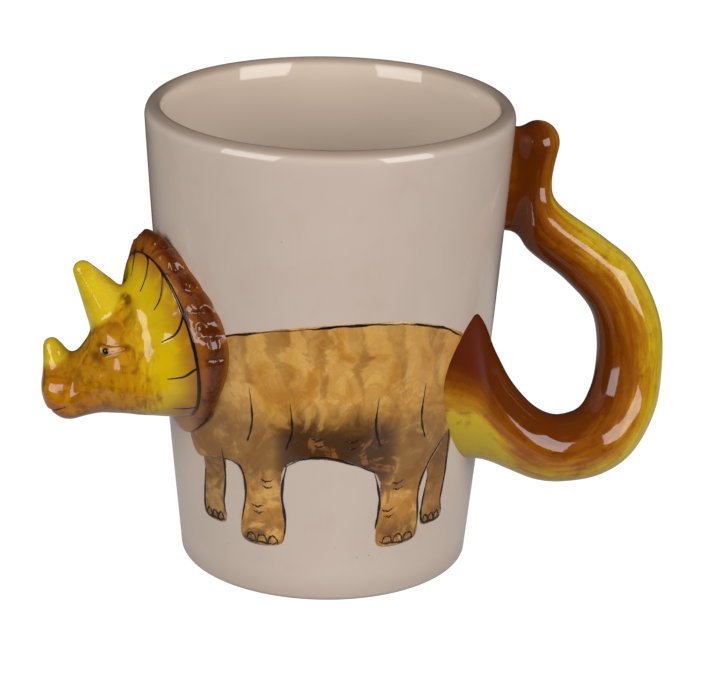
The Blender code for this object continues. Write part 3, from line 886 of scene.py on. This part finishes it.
def mouthStroke(sign):
    found = [sideOfHead(reach, rise, sign) for reach, rise in smoothRows(face["mouth"][1:], 10)]
    points, normals = zip(*found)
    return inkStroke(points, normals, tapered(len(points), face["mouthInk"], 0.8, 0.5))


makeEye("eyeLeft", 1, "eye_left")
makeEye("eyeRight", -1, "eye_right")
mouths = joined("mouthLines", [mouthStroke(sign) for sign in (-1, 1)])
newPiece("mouthLines", mouths, [inkGlaze], "eye_glaze")
print("face is painted")


# Roll of clay round the frill

roll = {
    "band": 4.5 * mm, "lumps": 21, "lumpHeight": 1.05 * mm, "twist": 0.40, "pointsPerLump": 22,
    "sectionSteps": 7, "fadeBelow": 0.45, "fadeOver": 0.8, "into": 1.5 * mm, "innerEdge": 0.4 * mm,
    "unevenness": 0.12 * mm, "dentDepth": 0.27 * mm,
    "dents": ((0.24, 0.50, 0.30, 0.13), (0.70, 0.66, 0.26, 0.15), (0.98, 0.40, 0.22, 0.10)),
    "crest": (0.4, -0.6, -0.9, 3.0, 3.4, 2.4, 0.8, 1.2, 3.6, 4.4, 2.4, 0.4),
    "section": ((0.0, 0.0), (0.45, 0.15), (0.85, 0.38), (1.0, 0.62), (0.80, 0.86), (0.55, 1.0)),
}


def wayToWall(start, direction):
    near, far = 0.0, cup["rimRadius"]
    while far - near > 0.001 * mm:
        middle = (near + far) / 2
        point = start + direction * middle
        if math.hypot(point[0], point[1]) > wallRadius(point[2]):
            near = middle
        else:
            far = middle
    return near


def dentAt(angle, share):  # finger and tool marks pressed into the lumps
    place = roll["lumps"] * angle / (2 * math.pi)
    deep = 0.0
    for k in (int(place) - 1, int(place), int(place) + 1):
        for offset, level, wide, tall in roll["dents"]:
            shift = 0.16 * math.sin(5.1 * k + 9 * offset)
            x = (place - k - offset - shift) / wide
            y = (share - level - 0.09 * math.sin(3.7 * k + 4 * offset)) / tall
            ring = math.hypot(x, y)
            strength = 0.55 + 0.45 * math.sin(2.3 * k + 7 * offset)
            deep += strength * (math.exp(-ring**4) - 0.45 * math.exp(-(((ring - 1.35) / 0.3) ** 2)))
    return roll["dentDepth"] * deep


def lumpAt(angle, share, full):  # how far a lump of the roll stands out
    turn = roll["lumps"] * angle / 2 + 0.35 * math.sin(3 * angle) + roll["twist"] * math.pi * share
    knob = abs(math.sin(turn)) ** 0.75 - 0.55
    belly = math.sin(math.pi * min(max((share - 0.14) / 0.86, 0), 1)) ** 0.7
    back = 0.25 * float(ease((share - 0.75) / 0.25))
    return roll["lumpHeight"] * full * (knob * belly - back) - dentAt(angle, share) * full


def makeRoll():
    count = roll["lumps"] * roll["pointsPerLump"]
    crests = np.array(roll["crest"]) * mm
    section = smoothRows(roll["section"], roll["sectionSteps"])
    rings, notes = [], []
    for k in range(count):
        angle = 2 * math.pi * k / count
        c, s = math.cos(angle), math.sin(angle)
        edge = frillMiddle + frillSide * head["halfWidth"] * c + frillUp * head["halfHeight"] * s
        out = unit(frillSide * c / head["halfWidth"] + frillUp * s / head["halfHeight"])
        place = len(crests) * k / count
        four = [crests[(int(place) + i) % len(crests)] for i in (-1, 0, 1, 2)]
        crest = blendRow(*four, place % 1)
        full = float(ease((s + roll["fadeBelow"]) / roll["fadeOver"]))
        depth = wayToWall(edge, -frillFacing)
        ring = []
        for rise, share in section:
            lump = lumpAt(angle, share, full)
            slope = roll["unevenness"] * math.sin(9 * angle + 5 * share) * math.sin(math.pi * share)
            back = depth * share * (1 - 0.02 * lump / mm)
            ring.append(edge + out * (crest * rise + lump + slope) - frillFacing * back)
        inner = edge - out * roll["band"]
        for start in (ring[-1], inner):
            ring.append(start - frillFacing * (wayToWall(start, -frillFacing) + roll["into"]))
        ring.append(inner - frillFacing * roll["innerEdge"])
        notes += [(c, s, share) for share in (*section[:, 1], 1.0, 1.0, 0.0)]
        rings.append(ring)
    mesh = skin("glazedRoll", rings, closed=True)
    keepMap(mesh, "around", notes)
    return mesh


rollPaint = {
    "brown": (0.170, 0.036, 0.002), "dark": (0.095, 0.017, 0.001), "warm": (0.330, 0.100, 0.008),
    "pale": (0.420, 0.180, 0.070), "edge": headPaint["edge"],
}


def paintRoll(paint):
    material, tree, shader = newMaterial("brownRollGlaze")
    place = placeIn(tree)
    _, level, share = partsOf(readMap(tree, "around", "Vector"))
    pool = cloud(place, 190.0, 4.0, 0.6, 0.8)
    front = fade(share, 0.50, 0.15) * fade(pool, 0.30, 0.50)
    worn = fade(share, 0.50, 0.70) * fade(pool, 0.52, 0.68)
    colour = layered(
        paint, "dark",
        (fade(pool, 0.38, 0.64), "brown"),
        (larger(front * 0.85, worn * 0.5), "warm"),
        (fade(share, 0.78, 0.98) * 0.75, "warm"),
        (fade(level, -0.86, -0.95) * fade(share, 0.75, 0.35), "edge"),
        (fade(cloud(place, 900.0, 5.0), 0.55, 0.8) * 0.25, "pale"),
    )
    glaze(shader, colour, {**glazeCoat, "waveScale": 380.0, "waveDepth": 0.13 * mm})
    return material


newPiece("glazedRoll", makeRoll(), [paintRoll(rollPaint)], "rim_glaze", ["frill_rim"])
print("roll round the frill is shaped")


# Tail

tail = {
    "height": 45 * mm, "sides": 60, "steps": 8, "flatness": 0.95, "tipRound": 84, "tipSteps": 12,
    "voxel": 0.42 * mm, "smoothing": (0.5, 5), "fillet": (3.0 * mm, 0.6, 90, 65 * mm),
    "webSide": -1.0 * mm, "webPaintOver": 1.5 * mm,
    "inWall": 2 * mm, "coreEnds": (-10 * mm, 130 * mm), "coreInner": 0.1 * mm, "coreSides": 160,
}
# Outer edge and inner edge (out, side, up); for the wide rows half width, narrowing toward the inner edge
tailRows = [
    (13.9, -0.5, 51.6, 3.4, -0.5, 51.4), (12.5, -1.0, 43.0, 4.3, -1.0, 42.3),
    (14.5, -2.4, 38.0, 5.7, -2.4, 30.3), (24.6, -3.0, 30.9, 15.7, -3.0, 21.7),
    (32.1, -3.7, 24.4, 21.9, -3.7, 14.9), (37.8, -4.2, 12.2, 23.8, -4.2, 7.3),
    (38.4, -6.2, -1.2, 23.4, -6.2, -0.1), (36.5, -8.8, -9.3, 21.9, -8.8, -4.2),
    (31.9, -11.4, -16.6, 20.1, -11.7, -6.1), (25.2, -12.5, -21.0, 17.6, -13.2, -7.0),
    (17.1, -13.1, -22.5, 13.9, -14.7, -6.8, 7.8, 0.1), (10.8, -13.0, -22.2, 9.4, -16.1, -3.9, 8.2, 0.25),
    (5.1, -12.7, -20.2, 4.5, -17.3, 2.1, 8.8, 0.35), (0.6, -12.4, -18.5, 0.7, -18.1, 9.4, 9.4, 0.45),
    (-3.1, -12.2, -17.9, -3.8, -18.7, 18.5, 10.0, 0.5), (-14.0, -12.0, -17.5, -14.0, -19.3, 21.5, 10.4, 0.5),
]
# Web between the upper tail and the wall: out from the wall, bottom, top, half thickness
webRows = [
    (9.0, 31.0, 54.4, 2.2), (6.0, 30.4, 55.0, 2.6), (4.2, 31.2, 55.6, 3.0), (2.4, 31.8, 56.2, 3.6),
    (-4.0, 31.9, 56.4, 4.2),
]


def tailPoint(out, side, up):
    return np.array([wallRadius(tail["height"]) + out, side, tail["height"] + up])


def tailRing(row, angles):
    outer, inner = tailPoint(*row[0:3]), tailPoint(*row[3:6])
    centre, half = (outer + inner) / 2, (inner - outer) / 2
    s = np.sin(angles)
    across = row[6] * np.cos(angles) * (1 - row[7] * np.maximum(s, 0) ** 2)
    return centre + half * s[:, None] + np.array([0, 1, 0]) * across[:, None]


def webRing(row, angles):  # a rounded oblong
    out, low, high, half = row
    c, s = np.cos(angles), np.sin(angles)
    size = (np.abs(c) ** 3 + np.abs(s) ** 3) ** (-1 / 3)
    ring = zip(tail["webSide"] + half * c * size, (low + high) / 2 + (high - low) / 2 * s * size)
    return [tailPoint(out, side, up) for side, up in ring]


def makeTailMesh():
    angles = anglesRound(tail["sides"])
    rows = []
    for row in tailRows:
        thick = np.linalg.norm(np.subtract(row[0:3], row[3:6]))
        rows.append([*row[:6], *(row[6:] or (tail["flatness"] * thick / 2, 0))])
    rows = smoothRows(np.array(rows) * ([mm] * 7 + [1]), tail["steps"])
    rings = [tailRing(row, angles) for row in rows]
    centre = rings[0].mean(0)
    away = unit(centre - rings[tail["steps"]].mean(0))
    reach = np.linalg.norm(rings[0][len(angles) // 4] - centre)
    dome = []  # the rings that close the tip
    for turn in np.radians(np.linspace(tail["tipRound"], 0, tail["tipSteps"], endpoint=False)):
        dome.append(centre + (rings[0] - centre) * math.cos(turn) + away * reach * math.sin(turn))
    rings = dome + rings
    middles = np.array([ring.mean(0) for ring in rings])  # their run gives the way along from the tip
    run = np.concatenate([[0], np.cumsum(np.linalg.norm(np.diff(middles, axis=0), axis=1))]) / mm
    notes = np.concatenate([ringAt(1, along, angles) for along in run])

    tube = skin("tube", rings)
    web = skin("web", [webRing(row, angles) for row in np.array(webRows) * mm])
    mesh, fromTube, _ = moulded("glazedTail", [tube, web], tail)

    # cut off what lies inside the cup's wall
    low, high = tail["coreEnds"]
    core = [(wallRadius(z) - tail["inWall"], z) for z in np.linspace(low, high, 30)]
    core = [(tail["coreInner"], low), *core, (tail["coreInner"], high)]
    keepMap(mesh, "onWeb", ease(fromTube / tail["webPaintOver"]))
    mesh = cutBy(mesh, skin("core", [ringAt(*spot, anglesRound(tail["coreSides"])) for spot in core]))
    keepMap(mesh, "around", borrow(mesh, np.concatenate(rings), notes))
    return mesh


tailPaint = {
    "yellow": (0.610, 0.425, 0.012), "yellowPale": (0.680, 0.520, 0.050), "ochre": (0.500, 0.240, 0.007),
    "brown": (0.320, 0.092, 0.003), "dark": (0.138, 0.027, 0.001), "stain": (0.110, 0.024, 0.002),
    "leafPoint": (0.095, 0.010, 0.0003), "streakStretch": (3.0, 3.0, 0.055),
    "ramp": ((0.0, "yellow"), (0.19, "yellow"), (0.31, "ochre"), (0.48, "brown"), (0.74, "dark")),
}


def paintTail(paint):
    material, tree, shader = newMaterial("brushedTailGlaze")
    place = placeIn(tree)
    around = readMap(tree, "around", "Vector")
    _, side, along = partsOf(around)  # 1 on the inner edge and -1 on the outer one, and mm from the tip
    streak = cloud(vectorMath("MULTIPLY", around, paint["streakStretch"]), 1.4, 6.0, 0.62, 0.2)
    blotch = cloud(place, 75.0, 5.0, 0.6, 0.5)
    fine = cloud(place, 420.0, 5.0, 0.6)

    # yellow outside to dark brown inside, with a brown leaf at the root
    leaf = (side - 0.10) * 2.4
    level = between(fade(along, 98.0, 116.0), side + fade(along, 34.0, 16.0) * 0.75, leaf)
    level = level + (streak - 0.5) * 1.6 + (blotch - 0.5) * 0.8
    colour = ramp(spread(level, -1.2, 1.2), [(stop, paint[name]) for stop, name in paint["ramp"]])
    pale = fade(side, -0.70, -0.98) * fade(blotch, 0.42, 0.62) * (1.0 - fade(along, 36.0, 20.0))
    patches = fade(fine, 0.50, 0.70) * fade(blotch, 0.44, 0.60) * spread(side, -1.0, 0.2, 0.35, 1.0)
    web = layered(paint, "dark", (fade(blotch, 0.48, 0.74), "brown"))
    point = fade(along, 106.0, 118.0)
    colour = layered(
        paint, colour,
        (pale * 0.5, "yellowPale"),
        (patches * 0.65, "stain"),
        (readMap(tree, "onWeb") * 0.9, web),
        (point * fade(side, -0.05, 0.50) * 0.85, "leafPoint"),
    )
    gloss = glaze(shader, colour)

    # on the leaf's point the glaze is thin and dull
    dull = point * fade(side, -0.3, 0.15)
    feed(shader, "Roughness", larger(gloss, dull * 0.52))
    feed(shader, "Specular IOR Level", between(dull, 0.5, 0.05))
    return material


tailMesh = makeTailMesh()
newPiece("glazedTail", tailMesh, [paintTail(tailPaint)], "tail_glaze", ["tail_handle"])
print("tail is shaped:", len(tailMesh.polygons), "faces")


# Printed flank: a plain striped animal's body on the front of the cup, thin under the glaze

flank = {
    "radius": 37 * mm, "sheetLift": 0.06 * mm, "farLift": 0.03 * mm, "sheet": 0.1 * mm, "cell": 0.9,
    "ink": 0.62 * mm, "middle": (3, 42), "inward": 0.45, "farInward": 0.07,
}
# Outlines in mm: sideways along the wall from the middle of the front, and up
bodyOutline = [
    (-31, 57), (-24, 60.8), (-15, 63.8), (-4, 66), (7, 67), (17, 66.4), (27, 63.6), (35, 59), (38, 52),
    (35.5, 43), (31, 36.5), (26.6, 31), (24.4, 25), (24.8, 18), (24.2, 13.8), (19.5, 12.6), (14, 13.2),
    (13.2, 17), (14, 24), (12.4, 31), (5, 34.2), (-3, 35), (-8.5, 32.6), (-9.6, 26), (-8.8, 18.5),
    (-9.4, 14), (-14.5, 12.6), (-19.6, 13.4), (-20.2, 17.5), (-18.8, 25), (-20.4, 31), (-26.5, 31.5),
    (-33.5, 30.5), (-36.5, 38), (-35.5, 48),
]
farLegs = [
    [(-31.5, 36), (-24.5, 35), (-23.8, 28), (-24.8, 21), (-24.2, 17.6), (-25.2, 16), (-28.2, 15.6),
     (-31.6, 16.2), (-32.2, 19), (-30.8, 28)],
    [(25.5, 37), (32.5, 40), (32.8, 28), (32, 21), (32.8, 17.8), (31.8, 16.2), (28.6, 15.8), (25.8, 16.4),
     (25.2, 19.4), (26.2, 28)],
]
# Inked marks: stretches of the body's outline with their weight, toes and soles as place, floor and width,
# lines where the legs meet the body as place, foot and height, and short folds of skin
inked = {
    "contours": (
        (0, 3, 1), (3, 5, 1.15), (5, 7, 1), (10, 14, 1),
        (17, 19, 1), (19, 22, 1.2), (22, 25, 1), (28, 31, 1),
    ),
    "farContours": ((1, 4), (7, 9)),
    "feet": ((-14.6, 13.4, 9.4), (19.2, 13.4, 9.6), (-28.3, 16.2, 6.6), (29.0, 16.4, 6.4)),
    "nail": ((-1, 0.1), (-0.8, 1.3), (0, 1.9), (0.8, 1.3), (1, 0.1)),
    "sole": ((-0.5, 0.6), (-0.25, 0), (0.25, 0), (0.5, 0.6)),
    "legs": ((-17.5, 37.5, 13), (-8.2, 37, 11), (13.2, 37.5, 12), (24.5, 38, 13)),
    "folds": ((-13, 28.5), (-15.5, 22), (18, 28), (16, 21.5), (-1, 39.5), (6.5, 39)),
    "upperFold": ((-1.5, 0.5), (0, 0), (1.6, 0.7)), "lowerFold": ((-1.0, -1.1), (0.3, -1.5), (1.5, -0.9)),
}


def onCup(across, up, lift):
    angle = np.asarray(across) * mm / flank["radius"]
    height = np.asarray(up) * mm
    r = wallRadius(height) + waver(angle - math.pi / 2, height) * ease(height / cup["evenBelow"]) + lift
    return np.stack([r * np.sin(angle), -r * np.cos(angle), height + 0 * angle], axis=-1)


def wallNormal(across):
    angle = np.asarray(across) * mm / flank["radius"]
    return np.stack([np.sin(angle), -np.cos(angle), -0.08 + 0 * angle], axis=-1)


def makeSheet(name, outline, lift):
    border = smoothRows(outline, 10, closed=True)
    shape = bmesh.new()
    shape.faces.new([shape.verts.new((x, 0, z)) for x, z in border])
    for places, normal in zip(border.T, (Vector((1, 0, 0)), Vector((0, 0, 1)))):
        for level in np.arange(places.min() + flank["cell"] / 2, places.max(), flank["cell"]):
            everything = shape.verts[:] + shape.edges[:] + shape.faces[:]
            bmesh.ops.bisect_plane(shape, geom=everything, plane_co=normal * level, plane_no=normal)
    bmesh.ops.triangulate(shape, faces=shape.faces)
    mesh = meshOf(name, shape)
    flat = pointsOf(mesh)[:, (0, 2)]
    keepMap(mesh, "inside", np.array([np.hypot(*(border - point).T).min() for point in flat]))
    keepMap(mesh, "page", np.stack([flat[:, 0], np.zeros(len(flat)), flat[:, 1]], axis=1))
    setPoints(mesh, onCup(flat[:, 0], flat[:, 1], lift))
    if mesh.polygons[0].normal.y > 0:
        mesh.flip_normals()
    return withModifier(mesh, "SOLIDIFY", thickness=flank["sheet"], offset=-1.0, use_even_offset=False)


flankPaint = {
    "tan": (0.500, 0.210, 0.034), "light": (0.700, 0.400, 0.105), "gold": (0.610, 0.305, 0.040),
    "brown": (0.230, 0.086, 0.020), "dark": (0.045, 0.022, 0.011), "paper": cupGlaze["cream"],
    "stripeEvery": 8.6, "stripeWide": 0.34,
}


def paintFlank(name, paint, shade):
    material, tree, shader = newMaterial(name)
    page = readMap(tree, "page", "Vector")
    across, _, up = partsOf(page)
    wash = cloud(page, 0.075, 5.0, 0.58, 1.4)
    bleed = cloud(page, 0.20, 6.0, 0.62, 1.0)
    other = cloud(vectorMath("ADD", page, (40.0, 0.0, 9.0)), 0.13, 6.0, 0.60, 1.6)
    fine = cloud(page, 1.6, 5.0, 0.6)

    # stripes hang from the back, wider at the top and soft where the wash ran
    lowness = up + (bleed - 0.5) * 10.0
    wave = reckon("PINGPONG", across + (wash - 0.5) * 13.0 + up * 0.16, paint["stripeEvery"] / 2)
    taper = spread(lowness, 44.0, 68.0, -0.4, paint["stripeWide"] * paint["stripeEvery"])
    stripe = fade(taper - wave, -0.5, 0.7) * spread(other, 0.35, 0.6, 0.35, 1.0)

    # shadow under the belly and behind the legs, nearly black in places
    amid = fade(across, -15.0, -7.0) * fade(across, 23.0, 13.0)
    belly = fade(lowness, 49.0, 39.0) * fade(lowness, 24.0, 32.0) * larger(amid, 0.45)
    colour = layered(
        paint, "tan",
        (fade(wash, 0.40, 0.56), "light"),
        (fade(bleed, 0.47, 0.58) * 0.60, "gold"),
        (fade(other, 0.50, 0.53) * 0.45, "tan"),
        (fade(up, 46.0, 62.0) * fade(wash, 0.34, 0.50) * 0.55, "light"),
        (stripe * 0.50, "brown"),
        (belly * 0.95, "brown"),
        (belly * fade(other, 0.38, 0.46) * 0.85, "dark"),
        (fade(bleed, 0.46, 0.56) * fade(up, 35.0, 27.0) * 0.45, "brown"),  # knees
        (fade(other, 0.46, 0.60) * fade(up, 21.0, 15.0) * 0.6, "dark"),  # toes
        (fade(across, -17.0, -25.0) * fade(bleed, 0.36, 0.58) * 0.35, "brown"),  # chest
        (fade(fine, 0.52, 0.78) * 0.25, "brown"),
        (shade, "dark"),
    )
    inside = fade(readMap(tree, "inside"), 0.0, 0.20)
    glaze(shader, mixed(inside, paint["paper"], colour), cupCoat)
    return material


nearWash = paintFlank("printedWash", flankPaint, 0.0)
farWash = paintFlank("printedWashFar", flankPaint, 0.35)
newPiece("printedBody", makeSheet("printedBody", bodyOutline, flank["sheetLift"]), [nearWash], "cup_glaze")
for k, outline in enumerate(farLegs):
    name = f"printedFarLeg{k}"
    newPiece(name, makeSheet(name, outline, flank["farLift"]), [farWash], "cup_glaze")


def cupStroke(path, weight=1.0, steps=8, start=0.4, end=0.2):
    rows = smoothRows(path, steps)
    t = np.linspace(0, 1, len(rows))
    shake = 0.10 * np.sin(17 * t + rows[0, 0]) + 0.06 * np.sin(41 * t)
    points = onCup(rows[:, 0], rows[:, 1] + shake, flank["sheetLift"])
    widths = tapered(len(rows), flank["ink"] * weight, start, end) * (1 + 0.25 * np.sin(23 * t + rows[0, 1]))
    return inkStroke(points, wallNormal(rows[:, 0]), widths)


def makeFlankInk(settings):
    body = np.array(bodyOutline, float)
    body += unit(np.array(flank["middle"]) - body) * flank["inward"]
    strokes = [cupStroke(body[first:last + 1], weight) for first, last, weight in settings["contours"]]
    for leg in np.array(farLegs, float):
        inner = leg + (leg.mean(0) - leg) * flank["farInward"]
        strokes += [cupStroke(inner[first:last + 1], 0.9) for first, last in settings["farContours"]]
    for place, low, wide in settings["feet"]:
        for k in (-1, 0, 1):
            nail = [(place + (k * 0.3 + x * 0.13) * wide, low + z) for x, z in settings["nail"]]
            strokes.append(cupStroke(nail, 0.75, 5, 0.8, 0.7))
        strokes.append(cupStroke([(place + x * wide, low + z) for x, z in settings["sole"]]))
    for x, low, tall in settings["legs"]:
        bend = 1.4 if x < flank["middle"][0] else -1.4
        path = [(x, low), (x + bend, low + tall * 0.4), (x + bend * 0.7, low + tall)]
        strokes.append(cupStroke(path, 0.9, 8, 0.8, 0.1))
    for x, z in settings["folds"]:
        for fold, weight in (("upperFold", 0.8), ("lowerFold", 0.7)):
            strokes.append(cupStroke([(x + dx, z + dz) for dx, dz in settings[fold]], weight, 6))
    return joined("printedLines", strokes)


newPiece("printedLines", makeFlankInk(inked), [inkGlaze], "cup_glaze")
print("flank is printed")
